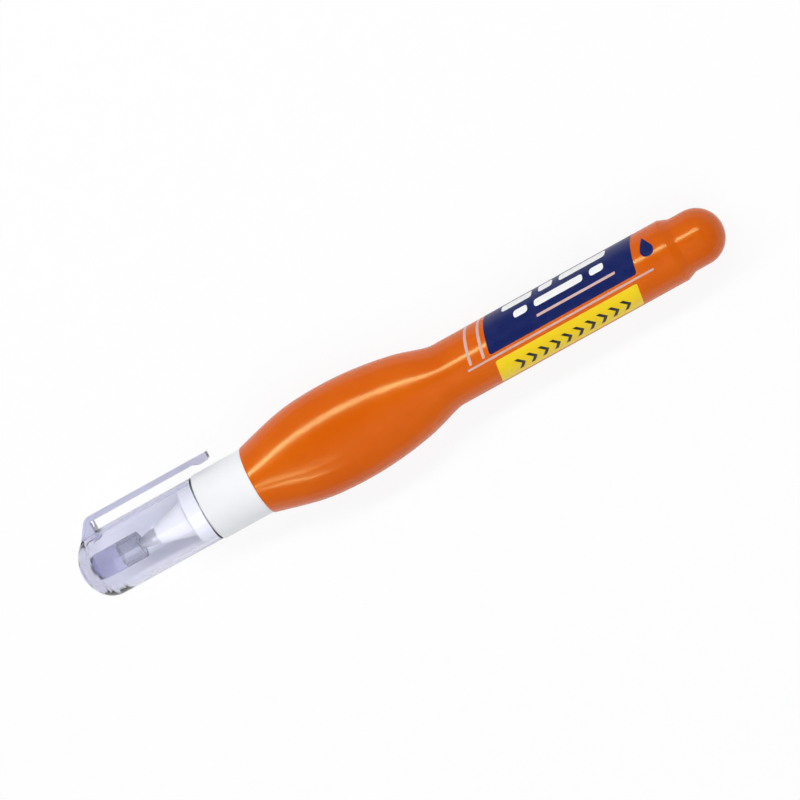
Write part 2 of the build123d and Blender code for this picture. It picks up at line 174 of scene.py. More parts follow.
# %% Node group: moulded skin
WORN_SPAN = (0.42, 0.62)
HAIR_SPAN = (0.60, 0.72)
HAIR_STRETCH = (60, 2600, 2600)
CLOUD_ROUGHNESS = (-0.02, 0.03)
HAIR_ROUGHNESS = 0.35
HAIR_DEPTH_SHARE = 0.8
skin, skin_in, skin_out = new_group(
    "moulded skin",
    [
        ("Colour", COLOUR, (0.8, 0.8, 0.8, 1)),
        ("Deep Colour", COLOUR, (0.7, 0.7, 0.7, 1)),
        ("Scuff Colour", COLOUR, (0.9, 0.9, 0.9, 1)),
        ("Cloud Scale", FLOAT, 90),
        ("Peel Scale", FLOAT, 1400),
        ("Scuff Amount", FLOAT, 0.2),
        ("Base Roughness", FLOAT, 0.25),
    ],
)
chosen = skin_in.outputs
place = add_node(skin, "ShaderNodeTexCoord").outputs["Object"]
clouds = noise(skin, place, chosen["Cloud Scale"], 4.0)
peel = noise(skin, place, chosen["Peel Scale"], 2.0)
stretched = add_node(skin, "ShaderNodeMapping", {"Vector": place, "Scale": HAIR_STRETCH}).outputs["Vector"]
hairs = remap(skin, noise(skin, stretched, 1.0, 3.0), HAIR_SPAN)
worn_hairs = math_node(skin, "MULTIPLY", hairs, remap(skin, clouds, WORN_SPAN))
scuffs = math_node(skin, "MULTIPLY", worn_hairs, chosen["Scuff Amount"])
cloudy = mix_colours(skin, remap(skin, clouds, NOISE_SPAN), chosen["Deep Colour"], chosen["Colour"])
scuffed = mix_colours(skin, scuffs, cloudy, chosen["Scuff Colour"])
cloud_part = remap(skin, clouds, NOISE_SPAN, CLOUD_ROUGHNESS)
hair_part = math_node(skin, "MULTIPLY", scuffs, HAIR_ROUGHNESS)
unscratched = math_node(skin, "ADD", chosen["Base Roughness"], cloud_part)
roughness = math_node(skin, "ADD", unscratched, hair_part)
relief = math_node(skin, "SUBTRACT", peel, math_node(skin, "MULTIPLY", scuffs, HAIR_DEPTH_SHARE))
close_group(skin, skin_out, scuffed, roughness, relief)

# %% [markdown]
# Turned rings
#
# The nose, the needle and the ball are metal. A turned or ground face carries fine rings round the axis
# from the tool, a little uneven in depth. They could be cut as grooves, but they are finer than the mesh.
# A wave along X bent by noise gives them, and the same wave drives the roughness, because the lip of
# each ring is polished in use.

# %% Node group: turned rings
WOBBLE_SCALE = 900.0
WOBBLE_PHASE = 6.0
LIP_STRENGTH = (0.5, 1.0)
LIP_ROUGHNESS = (0.08, -0.04)
rings, rings_in, rings_out = new_group(
    "turned rings",
    [
        ("Colour", COLOUR, (0.7, 0.7, 0.7, 1)),
        ("Groove Colour", COLOUR, (0.5, 0.5, 0.5, 1)),
        ("Ring Rate", FLOAT, 9000),
        ("Unevenness", FLOAT, 0.35),
        ("Base Roughness", FLOAT, 0.22),
    ],
)
chosen = rings_in.outputs
place = add_node(rings, "ShaderNodeTexCoord").outputs["Object"]
axial = add_node(rings, "ShaderNodeSeparateXYZ", {0: place}).outputs["X"]
wobble = noise(rings, place, WOBBLE_SCALE, 3.0)
most_wobble = math_node(rings, "MULTIPLY", chosen["Unevenness"], WOBBLE_PHASE)
even_phase = math_node(rings, "MULTIPLY", axial, chosen["Ring Rate"])
phase = math_node(rings, "ADD", even_phase, math_node(rings, "MULTIPLY", wobble, most_wobble))
lips = remap(rings, math_node(rings, "SINE", phase), (-1.0, 1.0))
lip_share = math_node(rings, "MULTIPLY", lips, remap(rings, wobble, NOISE_SPAN, LIP_STRENGTH))
ringed = mix_colours(rings, lip_share, chosen["Groove Colour"], chosen["Colour"])
lip_part = remap(rings, lips, (0.0, 1.0), LIP_ROUGHNESS)
roughness = math_node(rings, "ADD", chosen["Base Roughness"], lip_part)
close_group(rings, rings_out, ringed, roughness, lips)

# %% [markdown]
# Finishes
#
# A finish is one of the groups with its own values, a Bump node for its relief, and a Principled BSDF.
# What is the same all over, such as the index of refraction, is set on the shader's own sockets. It could
# pass through the group too, but then an exporter would lose it.


# %% Helper: a finish from a group
def finish_from(group, name, values, relief, **shader_values):
    """A material whose colour, roughness and relief come from a group, with plain values on its shader."""
    strength, depth = relief
    material = bpy.data.materials.new(name)
    material.use_nodes = True
    tree = material.node_tree
    shader = tree.nodes["Principled BSDF"]
    detail = add_node(tree, "ShaderNodeGroup", node_tree=group)
    for socket, value in values.items():
        detail.inputs[socket].default_value = value
    for socket, value in shader_values.items():
        shader.inputs[socket.replace("_", " ")].default_value = value
    bump_inputs = {"Strength": strength, "Distance": depth, "Height": detail.outputs["Height"]}
    bump = add_node(tree, "ShaderNodeBump", bump_inputs)
    tree.links.new(detail.outputs["Colour"], shader.inputs["Base Color"])
    tree.links.new(detail.outputs["Roughness"], shader.inputs["Roughness"])
    tree.links.new(bump.outputs["Normal"], shader.inputs["Normal"])
    return material


def srgb(red, green, blue):
    """Linear colour with alpha for screen values from 0 to 255, by the sRGB formula."""
    shares = [value / 255 for value in (red, green, blue)]
    linear = [share / 12.92 if share <= 0.04045 else ((share + 0.055) / 1.055) ** 2.4 for share in shares]
    return (*linear, 1.0)


SKIN_DEPTH = 0.1 * MM
print("finish helper ready")

# %% [markdown]
# Orange bottle
#
# The bottle is moulded polyethylene in a strong orange: glossy, a little translucent, so light soaks in
# and softens the shadow side. A plain colour alone would look like paint. A subsurface share gives the
# softness, and a low roughness the narrow streak of light along the bulge.

# %% Orange polyethylene
orange_plastic = finish_from(
    skin,
    "orange polyethylene",
    {
        "Colour": srgb(221, 100, 2),
        "Deep Colour": srgb(214, 93, 1),
        "Scuff Colour": srgb(228, 124, 30),
        "Cloud Scale": 70,
        "Peel Scale": 900,
        "Scuff Amount": 0.12,
        "Base Roughness": 0.17,
    },
    (0.06, SKIN_DEPTH),
    IOR=1.25,
    Specular_IOR_Level=0.9,
    Subsurface_Weight=0.03,
    Subsurface_Radius=(1.2 * MM, 0.4 * MM, 0.1 * MM),
)
nodes["bottle"].data.materials[0] = orange_plastic
print("bottle:", orange_plastic.name)

# %% [markdown]
# White nozzle
#
# The nozzle is polypropylene with white pigment: satin, bright, and slightly cool. A pure white would
# leave no room for light and shade on it, so the colour stays a little below white.

# %% White polypropylene
white_plastic = finish_from(
    skin,
    "white polypropylene",
    {
        "Colour": srgb(245, 246, 247),
        "Deep Colour": srgb(240, 241, 243),
        "Scuff Colour": srgb(231, 232, 234),
        "Cloud Scale": 110,
        "Peel Scale": 1600,
        "Scuff Amount": 0.15,
        "Base Roughness": 0.34,
    },
    (0.1, SKIN_DEPTH),
    IOR=1.49,
    Specular_IOR_Level=0.25,
    Subsurface_Weight=0.08,
    Subsurface_Radius=(1.2 * MM, 1.1 * MM, 1.0 * MM),
)
nodes["nozzle"].data.materials[0] = white_plastic
print("nozzle:", white_plastic.name)

# %% [markdown]
# Clear cap
#
# The cap is clear polystyrene with a breath of blue. Its wall bends light strongly, which draws the pale
# and blue-grey bands along it. Transparency alone would not bend anything, so this is transmission, and
# the skin group only adds faint scuffs. An absorption in the plastic deepens the blue where the way
# through it is long, as in the clip.

# %% Clear polystyrene
TINT, TINT_DENSITY = (0.36, 0.35, 0.62, 1), 170.0
clear_plastic = finish_from(
    skin,
    "clear polystyrene",
    {
        "Colour": srgb(252, 252, 255),
        "Deep Colour": srgb(249, 250, 255),
        "Scuff Colour": srgb(246, 247, 252),
        "Cloud Scale": 120,
        "Peel Scale": 700,
        "Scuff Amount": 0.18,
        "Base Roughness": 0.03,
    },
    (0.02, SKIN_DEPTH),
    IOR=1.58,
    Transmission_Weight=1.0,
)
tree = clear_plastic.node_tree
tint = add_node(tree, "ShaderNodeVolumeAbsorption", {"Color": TINT, "Density": TINT_DENSITY})
tree.links.new(tint.outputs[0], tree.nodes["Material Output"].inputs["Volume"])
nodes["cap"].data.materials[0] = clear_plastic
print("cap:", clear_plastic.name)

# %% [markdown]
# Inner plastics
#
# The seal in the cap is a blue-grey elastomer that presses on the nose. The carrier and the retainer inside
# the nozzle are natural acetal, waxy and nearly white. One grey would do for parts that are hardly seen,
# but the cap comes off and the model may be cut open, so each has its own finish.

# %% Seal and acetal
seal_plastic = finish_from(
    skin,
    "grey elastomer",
    {
        "Colour": srgb(218, 221, 233),
        "Deep Colour": srgb(206, 209, 224),
        "Scuff Colour": srgb(226, 228, 237),
        "Cloud Scale": 200,
        "Peel Scale": 2400,
        "Scuff Amount": 0.1,
        "Base Roughness": 0.55,
    },
    (0.2, SKIN_DEPTH),
    IOR=1.45,
)
natural_plastic = finish_from(
    skin,
    "natural acetal",
    {
        "Colour": srgb(232, 229, 218),
        "Deep Colour": srgb(220, 216, 203),
        "Scuff Colour": srgb(240, 238, 230),
        "Cloud Scale": 220,
        "Peel Scale": 2600,
        "Scuff Amount": 0.1,
        "Base Roughness": 0.38,
    },
    (0.12, SKIN_DEPTH),
    IOR=1.48,
    Subsurface_Weight=0.1,
    Subsurface_Radius=(0.8 * MM, 0.7 * MM, 0.6 * MM),
)
nodes["cap_seal"].data.materials[0] = seal_plastic
nodes["needle_carrier"].data.materials[0] = natural_plastic
nodes["spring_retainer"].data.materials[0] = natural_plastic
print("inner plastics:", seal_plastic.name, "and", natural_plastic.name)

# %% [markdown]
# Metals
#
# The nose is turned nickel silver, pale and satin. The needle is ground steel, the spring drawn wire, and
# the ball polished. They differ only in colours, rate of rings, unevenness and roughness, so a table and
# a loop make them all.

# %% Metal finishes
METALS = {
    "metal_tip": ("turned nickel silver", srgb(244, 243, 243), srgb(226, 226, 230), 14000, 0.35, 0.46),
    "valve_needle": ("ground steel", srgb(205, 207, 211), srgb(160, 163, 168), 26000, 0.5, 0.18),
    "valve_spring": ("drawn spring wire", srgb(190, 192, 196), srgb(140, 142, 148), 4000, 0.9, 0.26),
    "agitator_ball": ("polished steel", srgb(212, 214, 218), srgb(190, 193, 198), 3000, 1.0, 0.1),
}
RING_RELIEF = (0.15, 0.05 * MM)
for node_name, (metal_name, lip, groove, rate, unevenness, base) in METALS.items():
    values = {
        "Colour": lip,
        "Groove Colour": groove,
        "Ring Rate": rate,
        "Unevenness": unevenness,
        "Base Roughness": base,
    }
    metal = finish_from(rings, metal_name, values, RING_RELIEF, Metallic=1.0)
    nodes[node_name].data.materials[0] = metal
print("metals:", ", ".join(METALS))

# %% [markdown]
# Eased forms
#
# The real pen departs a little from the solids: its bulge is fuller, its rear end rounder, the collar
# reaches further back, and the crown of the cap stands further out, with a slanting root to its clip.
# These could be modelled anew. But the solids are right in all else, so each form here is a copy of a
# solid's mesh with its points moved by a short rule, and the copy stands for its node.


# %% Copy a solid and ease it
def smooth(value, start, end):
    """Rises from 0 at the start to 1 at the end, without a corner."""
    share = min(1.0, max(0.0, (value - start) / (end - start)))
    return share * share * (3 - 2 * share)


def eased_form(node_name, body, move):
    """A copy of a solid whose points are moved by a rule, which stands for the solid's node."""
    node = nodes[node_name]
    mesh = node.data.copy()
    mesh.transform(node.matrix_world)
    shifts = []
    for vertex in mesh.vertices:
        moved = move(vertex.co)
        shifts.append((moved - vertex.co).length)
        vertex.co = moved
    mesh.update()
    piece = bpy.data.objects.new(f"{node_name}_form", mesh)
    bpy.context.scene.collection.objects.link(piece)
    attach(piece, body)
    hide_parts(node_name)
    print(f"{piece.name}: {len(shifts)} points, moved by up to {max(shifts) / MM:.2f} mm")
    return piece


shown = dict(nodes)
print("solids to show:", len(shown))

# %% Bottle: fuller bulge and rounder rear end
COLLAR_EXTRA = 1.0 * MM
MOUTH_X = -33.5 * MM
MOUTH_EASE_END = -19.0 * MM
BULGE_EXTRA_SHARE = 0.052
BULGE_EASE_START = 2.0 * MM
SOLID_ROUNDING, REAL_ROUNDING = 2.7 * MM, 5.5 * MM
REAR_CUT = 0.5 * MM
NEAR = 0.02 * MM
rear_end = bottle_high.x - REAR_CUT
solid_flat = post_radius - SOLID_ROUNDING
real_flat = post_radius - REAL_ROUNDING


def ease_bottle(point):
    """Moves the mouth back, swells the bulge sideways, and rounds the rear corner about a new centre."""
    x, y, z = point
    if x > MOUTH_X - NEAR:
        swell = smooth(x, MOUTH_X, MOUTH_EASE_END) * (1 - smooth(x, BULGE_EASE_START, barrel_front))
        y *= 1 + BULGE_EXTRA_SHARE * swell
        x += COLLAR_EXTRA * (1 - smooth(x, MOUTH_X, MOUTH_EASE_END))
    reach = x - (bottle_high.x - SOLID_ROUNDING)
    radius = math.hypot(y, z)
    if reach < -NEAR or radius < NEAR:
        return Vector((x, y, z))
    rise = radius - solid_flat
    if rise < -NEAR:
        x -= REAR_CUT
        new_radius = radius * real_flat / solid_flat
    else:
        arm = math.hypot(reach, rise)
        growth = (arm + REAL_ROUNDING - SOLID_ROUNDING) / arm
        x = rear_end - REAL_ROUNDING + reach * growth
        new_radius = real_flat + rise * growth
    return Vector((x, y * new_radius / radius, z * new_radius / radius))


shown["bottle"] = eased_form("bottle", "pen", ease_bottle)


# %% Nozzle: the collar follows the bottle's mouth
def ease_nozzle(point):
    """Moves the rear edge of the collar, and what lies behind it, back."""
    return point + Vector((COLLAR_EXTRA if point.x > MOUTH_X - COLLAR_EXTRA else 0, 0, 0))


shown["nozzle"] = eased_form("nozzle", "pen", ease_nozzle)

# %% [markdown]
# Cap
#
# The crown of the real cap stands further out, and the front of the clip's root slants. Lamp light would
# stop at a clear wall, because the path tracer takes such a wall for a dark one. So the cap casts no
# shadow, and lamp light goes straight through to the nose.

# %% Cap: the crown further out, and a slanting root to the clip
CROWN_SHIFT = 1.5 * MM
CROWN_DEPTH = 5.0 * MM
ROOT_DEPTH = 4.5 * MM
ROOT_FOOT_SHIFT, ROOT_TOP_SHIFT = -0.55 * MM, 1.55 * MM
cap_radius = -cap_low.y


def ease_cap(point):
    """Moves the crown forward, and slants the front of the clip's root."""
    x, y, z = point
    if math.hypot(y, z) < cap_radius + NEAR:
        if x < cap_low.x + CROWN_DEPTH + NEAR:
            x -= CROWN_SHIFT
    elif x < cap_low.x + ROOT_DEPTH:
        height_share = (y - cap_radius) / (cap_high.y - cap_radius)
        x += ROOT_FOOT_SHIFT + (ROOT_TOP_SHIFT - ROOT_FOOT_SHIFT) * height_share
    return Vector((x, y, z))


shown["cap"] = eased_form("cap", "cap", ease_cap)
shown["cap"].visible_shadow = False

# %% [markdown]
# Screen print
#
# The barrel is screen printed. Such ink is a little blotchy and has pinholes where an opening of the
# screen was blocked. A flat colour would show neither, so the inks have a group of their own.

# %% Node group: screen print
BLOTCH_SCALE, PINHOLE_SCALE = 500.0, 2600.0
BLOTCH_SPAN = (0.45, 0.75)
PINHOLE_SPAN = (0.16, 0.06)
BLOTCH_ROUGHNESS = (-0.03, 0.05)
ink_film, ink_in, ink_out = new_group(
    "screen print",
    [
        ("Ink", COLOUR, (0.5, 0.5, 0.5, 1)),
        ("Thin Ink", COLOUR, (0.5, 0.5, 0.5, 1)),
        ("Thin Amount", FLOAT, 0.3),
        ("Base Roughness", FLOAT, 0.3),
    ],
)
chosen = ink_in.outputs
place = add_node(ink_film, "ShaderNodeTexCoord").outputs["Object"]
blotches = noise(ink_film, place, BLOTCH_SCALE, 5.0)
cells = add_node(ink_film, "ShaderNodeTexVoronoi", {"Vector": place, "Scale": PINHOLE_SCALE})
pinholes = remap(ink_film, cells.outputs["Distance"], PINHOLE_SPAN)
thin_places = math_node(ink_film, "MAXIMUM", remap(ink_film, blotches, BLOTCH_SPAN), pinholes)
thinned = math_node(ink_film, "MULTIPLY", thin_places, chosen["Thin Amount"])
inked = mix_colours(ink_film, thinned, chosen["Ink"], chosen["Thin Ink"])
blotch_part = remap(ink_film, blotches, NOISE_SPAN, BLOTCH_ROUGHNESS)
roughness = math_node(ink_film, "ADD", chosen["Base Roughness"], blotch_part)
close_group(ink_film, ink_out, inked, roughness, math_node(ink_film, "SUBTRACT", blotches, thinned))

# %% Inks
INKS = {
    "navy": (srgb(19, 33, 92), srgb(40, 50, 104), 0.35),
    "yellow": (srgb(250, 216, 28), srgb(246, 196, 20), 0.4),
    "white": (srgb(247, 247, 246), srgb(236, 226, 220), 0.3),
    "dark": (srgb(44, 42, 40), srgb(74, 66, 40), 0.4),
    "pale": (srgb(214, 180, 172), srgb(212, 150, 110), 0.4),
}
INK_ROUGHNESS = 0.30
INK_RELIEF = (0.10, 0.03 * MM)
inks = {}
for ink, (full, thin, amount) in INKS.items():
    values = {"Ink": full, "Thin Ink": thin, "Thin Amount": amount, "Base Roughness": INK_ROUGHNESS}
    inks[ink] = finish_from(ink_film, f"{ink} ink", values, INK_RELIEF, IOR=1.5, Specular_IOR_Level=0.3)
print("inks:", ", ".join(inks))

# %% [markdown]
# Print
#
# The ink could be a colour in the bottle's material. But a film of ink has an edge and lies over the curve
# of the barrel, so each colour is a thin closed sheet: its outline is drawn flat, in millimetres along the
# pen and around the barrel, cut in narrow strips, given its thickness and rolled on the barrel. The design
# is plain: slanted panels, bars, a keyline, chevrons and a drop.

# %% Helpers: outlines
SLANT = 0.20
CORNER_STEPS = 5


def rounded(corners, radius):
    """The outline through some corners, each rounded by an arc-like curve of about the given radius."""
    outline = []
    for number, corner in enumerate(corners):
        corner = Vector(corner)
        before = Vector(corners[number - 1])
        after = Vector(corners[(number + 1) % len(corners)])
        start = corner + (before - corner).normalized() * radius
        end = corner + (after - corner).normalized() * radius
        for step in range(CORNER_STEPS + 1):
            share = step / CORNER_STEPS
            outline.append(start.lerp(corner, share).lerp(corner.lerp(end, share), share))
    return outline


def slanted(x_from, x_to, low, high, radius):
    """A panel between two heights round the barrel, its ends leaning towards the rear end with height."""
    corners = [(x_from + SLANT * low, low), (x_to + SLANT * low, low)]
    corners += [(x_to + SLANT * high, high), (x_from + SLANT * high, high)]
    return rounded(corners, radius)


print("outline helpers ready")

# %% Helper: rolled films of ink
FILM = 0.02 * MM
SUNK_SHARE = 0.5
ROLL_STEP = 0.35 * MM
CUT_TOLERANCE = 0.0001 * MM
SHARP_ANGLE = math.radians(40)
BASE_LAYER, TOP_LAYER = 0, 1
printed_pieces = []


def ordered_mesh(name, sheet):
    """A mesh with points and faces in a fixed order, which the mesh tools don't keep from run to run."""
    points = sorted(sheet.verts, key=lambda vert: vert.co[:])
    for number, vert in enumerate(points):
        vert.index = number
    faces = []
    for face in sheet.faces:
        corners = [vert.index for vert in face.verts]
        first = corners.index(min(corners))
        faces.append(corners[first:] + corners[:first])
    mesh = bpy.data.meshes.new(name)
    mesh.from_pydata([vert.co[:] for vert in points], [], sorted(faces))
    return mesh


def rolled_print(name, outlines, layer, finish):
    """Closed ink films with outlines in mm along and around the barrel, rolled on it in a given layer."""
    sheet = bmesh.new()
    for outline in outlines:
        sheet.faces.new([sheet.verts.new((along * MM, around * MM, 0)) for along, around in outline])
    bmesh.ops.triangulate(sheet, faces=sheet.faces[:])
    heights = [vert.co.y for vert in sheet.verts]
    for step in range(math.ceil(min(heights) / ROLL_STEP), math.floor(max(heights) / ROLL_STEP) + 1):
        everything = sheet.verts[:] + sheet.edges[:] + sheet.faces[:]
        cut_at = (0, step * ROLL_STEP, 0)
        bmesh.ops.bisect_plane(
            sheet, geom=everything, dist=CUT_TOLERANCE, plane_co=cut_at, plane_no=(0, 1, 0)
        )
    raised = bmesh.ops.extrude_face_region(sheet, geom=sheet.faces[:], use_keep_orig=True)
    for element in raised["geom"]:
        if isinstance(element, bmesh.types.BMVert):
            element.co.z = FILM
    for vert in sheet.verts:
        along, around, height = vert.co
        radius = barrel_radius + FILM * (layer - SUNK_SHARE) + height
        angle = around / barrel_radius
        vert.co = (along, radius * math.sin(angle), radius * math.cos(angle))
    bmesh.ops.recalc_face_normals(sheet, faces=sheet.faces[:])
    mesh = ordered_mesh(name, sheet)
    sheet.free()
    mesh.shade_smooth()
    mesh.set_sharp_from_angle(angle=SHARP_ANGLE)
    mesh.materials.append(finish)
    piece = bpy.data.objects.new(name, mesh)
    bpy.context.scene.collection.objects.link(piece)
    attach(piece, "pen")
    printed_pieces.append(piece)
    print(f"{name}: {len(mesh.polygons)} faces")


print(f"film of ink: {FILM / MM:.2f} mm, in strips of {ROLL_STEP / MM:.2f} mm")

# %% Panel, stripes and keyline
PRINT_GAP = 4.2
PANEL_GAP, PANEL_LENGTH = 5.0, 32.0
PANEL_LOW, PANEL_HIGH, PANEL_CORNER = -0.6, 14.2, 0.6
STRIPE_PLACES, STRIPE_WIDTH, STRIPE_CORNER = (0.6, 3.4), 0.6, 0.25
KEYLINE_LOW, KEYLINE_HIGH, KEYLINE_CORNER = -1.5, -1.1, 0.15
KEYLINE_EXTRA = 3.4
print_start = barrel_front / MM + PRINT_GAP
panel_start = print_start + PANEL_GAP
panel_end = panel_start + PANEL_LENGTH
panel = slanted(panel_start, panel_end, PANEL_LOW, PANEL_HIGH, PANEL_CORNER)
rolled_print("print_panel", [panel], BASE_LAYER, inks["navy"])
stripes = []
for stripe_place in STRIPE_PLACES:
    start = print_start + stripe_place
    stripes.append(slanted(start, start + STRIPE_WIDTH, PANEL_LOW, PANEL_HIGH, STRIPE_CORNER))
rolled_print("print_stripes", stripes, BASE_LAYER, inks["pale"])
keyline = slanted(print_start, panel_end + KEYLINE_EXTRA, KEYLINE_LOW, KEYLINE_HIGH, KEYLINE_CORNER)
rolled_print("print_keyline", [keyline], BASE_LAYER, inks["pale"])

# %% Bars and hairline on the panel
BAR_ROWS = {
    (6.4, 8.6): [(4.0, 10.5), (12.0, 15.0), (16.5, 26.5)],
    (3.4, 5.0): [(6.5, 9.5), (11.0, 21.5), (23.0, 26.0)],
}
BAR_CORNER = 0.7
HAIRLINE_INDENT, HAIRLINE_END_GAP = 11.0, 4.0
HAIRLINE_LOW, HAIRLINE_HIGH, HAIRLINE_CORNER = 1.4, 1.9, 0.2
bars = []
for (low, high), row in BAR_ROWS.items():
    for start, end in row:
        bars.append(slanted(panel_start + start, panel_start + end, low, high, BAR_CORNER))
rolled_print("print_bars", bars, TOP_LAYER, inks["white"])
hairline_start, hairline_end = panel_start + HAIRLINE_INDENT, panel_end - HAIRLINE_END_GAP
hairline = slanted(hairline_start, hairline_end, HAIRLINE_LOW, HAIRLINE_HIGH, HAIRLINE_CORNER)
rolled_print("print_hairline", [hairline], TOP_LAYER, inks["pale"])

# %% Band with chevrons
BAND_INSET = 0.6
BAND_LOW, BAND_HIGH, BAND_CORNER = -8.3, -2.2, 0.5
CHEVRON_COUNT, CHEVRON_START, CHEVRON_PITCH = 10, 3.2, 2.55
CHEVRON_STROKE, CHEVRON_DEPTH = 0.8, 1.1
CHEVRON_LOW, CHEVRON_MIDDLE, CHEVRON_HIGH = -6.8, -5.4, -4.0
band = slanted(panel_start + BAND_INSET, panel_end - BAND_INSET, BAND_LOW, BAND_HIGH, BAND_CORNER)
rolled_print("print_band", [band], BASE_LAYER, inks["yellow"])
chevrons = []
for number in range(CHEVRON_COUNT):
    left = panel_start + CHEVRON_START + CHEVRON_PITCH * number
    chevron = [(left, CHEVRON_HIGH), (left + CHEVRON_STROKE, CHEVRON_HIGH)]
    chevron += [(left + CHEVRON_DEPTH + CHEVRON_STROKE, CHEVRON_MIDDLE)]
    chevron += [(left + CHEVRON_STROKE, CHEVRON_LOW), (left, CHEVRON_LOW)]
    chevron += [(left + CHEVRON_DEPTH, CHEVRON_MIDDLE)]
    chevrons.append(chevron)
rolled_print("print_chevrons", chevrons, TOP_LAYER, inks["dark"])

# %% Drop behind the panel
DROP_GAP = 3.6
DROP_RADIUS, DROP_MIDDLE, DROP_POINT = 1.35, 2.6, 5.6
DROP_STEPS = 10
DROP_STEP_ANGLE = math.pi / 14
drop_at = panel_end + DROP_GAP
drop = []
for step in range(-DROP_STEPS, DROP_STEPS + 1):
    angle = step * DROP_STEP_ANGLE
    drop.append((drop_at + DROP_RADIUS * math.sin(angle), DROP_MIDDLE - DROP_RADIUS * math.cos(angle)))
rolled_print("print_drop", [drop + [(drop_at, DROP_POINT)]], BASE_LAYER, inks["navy"])

# %% [markdown]
# Studio
#
# The pen lies on a plain white table. More light could make the table white, but it would burn out the
# pen. So the floor glows for the rays that the viewer sends, and its diffuse share keeps the soft shadow.
# Rays from the gloss and through the clear cap get little of that glow: the pen's flanks mirror its own
# shadow, and the nose's shadow on the table draws a grey band along the cap.

# %% Floor
FLOOR_SIZE = 1.6
FLOOR_GAP = 0.02 * MM
FLOOR_CUTS = 8
FLOOR_GLOW_SHARE = 0.88
GLOSS_GLOW_SHARE = 0.15
CLEAR_GLOW_SHARE = 0.03
PAPER_SCALE = 400.0
PAPER_WHITE = (0.90, 0.93)
bpy.ops.mesh.primitive_grid_add(
    x_subdivisions=FLOOR_CUTS,
    y_subdivisions=FLOOR_CUTS,
    size=FLOOR_SIZE,
    location=(0, 0, cad_low.z - FLOOR_GAP),
)
floor = bpy.context.object
floor.name = "studio_floor"
print(f"floor at {floor.location.z / MM:.2f} mm")

# %% Finish of the floor
floor_finish = bpy.data.materials.new("white table")
floor_finish.use_nodes = True
tree = floor_finish.node_tree
tree.nodes.clear()
rays = add_node(tree, "ShaderNodeLightPath").outputs
viewed = math_node(tree, "MULTIPLY", rays["Is Camera Ray"], FLOOR_GLOW_SHARE)
mirrored = math_node(tree, "MULTIPLY", rays["Is Glossy Ray"], GLOSS_GLOW_SHARE)
open_glow = math_node(tree, "MAXIMUM", viewed, mirrored)
glow_inputs = {0: rays["Is Transmission Ray"], 2: open_glow, 3: CLEAR_GLOW_SHARE}
glow_share = add_node(tree, "ShaderNodeMix", glow_inputs).outputs[0]
fibres = add_node(tree, "ShaderNodeTexNoise", {"Scale": PAPER_SCALE, "Detail": 3.0}).outputs["Fac"]
matt = add_node(tree, "ShaderNodeBsdfDiffuse", {"Color": remap(tree, fibres, NOISE_SPAN, PAPER_WHITE)})
glow = add_node(tree, "ShaderNodeEmission", {"Color": (1, 1, 1, 1), "Strength": 1.0})
floor_mix = add_node(tree, "ShaderNodeMixShader", {0: glow_share})
tree.links.new(matt.outputs[0], floor_mix.inputs[1])
tree.links.new(glow.outputs[0], floor_mix.inputs[2])
tree.links.new(floor_mix.outputs[0], add_node(tree, "ShaderNodeOutputMaterial").inputs["Surface"])
floor.data.materials.append(floor_finish)
print("floor:", floor_finish.name)

# %% [markdown]
# World
#
# A studio tent has pale walls, a dark opening above for the camera, and a cool grey foot. One even colour
# would light the pen as well, but the clear cap and the glossy bottle show all three, so the tent is a
# gradient. A viewer who looks past the floor sees white, and what is seen through the clear cap gets a
# share of that white.

# %% World
CLEAR_WORLD_SHARE = 0.70
TENT_BANDS = {
    0.0: (0.32, 0.34, 0.44, 1),
    0.25: (0.31, 0.325, 0.36, 1),
    0.60: (0.29, 0.30, 0.315, 1),
    0.92: (0.06, 0.06, 0.06, 1),
}
world = bpy.data.worlds.new("studio tent")
bpy.context.scene.world = world
world.use_nodes = True
tree = world.node_tree
tree.nodes.clear()
outward = add_node(tree, "ShaderNodeTexCoord").outputs["Generated"]
height = add_node(tree, "ShaderNodeSeparateXYZ", {0: outward}).outputs["Z"]
ramp = add_node(tree, "ShaderNodeValToRGB", {"Fac": height})
bands = ramp.color_ramp.elements
bands.remove(bands[1])
for number, (position, colour) in enumerate(TENT_BANDS.items()):
    band = bands.new(position) if number else bands[0]
    band.position = position
    band.color = colour
tent = add_node(tree, "ShaderNodeBackground", {"Color": ramp.outputs["Color"], "Strength": 1.0})
white = add_node(tree, "ShaderNodeBackground", {"Color": (1, 1, 1, 1), "Strength": 1.0})
rays = add_node(tree, "ShaderNodeLightPath").outputs
through_clear = math_node(tree, "MULTIPLY", rays["Is Transmission Ray"], CLEAR_WORLD_SHARE)
white_share = math_node(tree, "MAXIMUM", rays["Is Camera Ray"], through_clear)
world_mix = add_node(tree, "ShaderNodeMixShader", {0: white_share})
tree.links.new(tent.outputs[0], world_mix.inputs[1])
tree.links.new(white.outputs[0], world_mix.inputs[2])
tree.links.new(world_mix.outputs[0], add_node(tree, "ShaderNodeOutputWorld").inputs["Surface"])
print("world:", world.name, "with", len(bands), "bands")

# %% [markdown]
# Lamps
#
# The key light is a strip above the clip side. It is split in two lamps at the same place: one lights the
# colours, and a warm narrow one shows only in the gloss, as the streak along the bulge and the barrel. Two
# weaker strips draw the short glints low on the front of the bulge, a soft panel gives the metal tip
# something to mirror, and a broad soft lamp fills the rest. The key leaves the clear cap out: its light
# goes straight through to the nose already, and would count twice if the cap bent it there too.


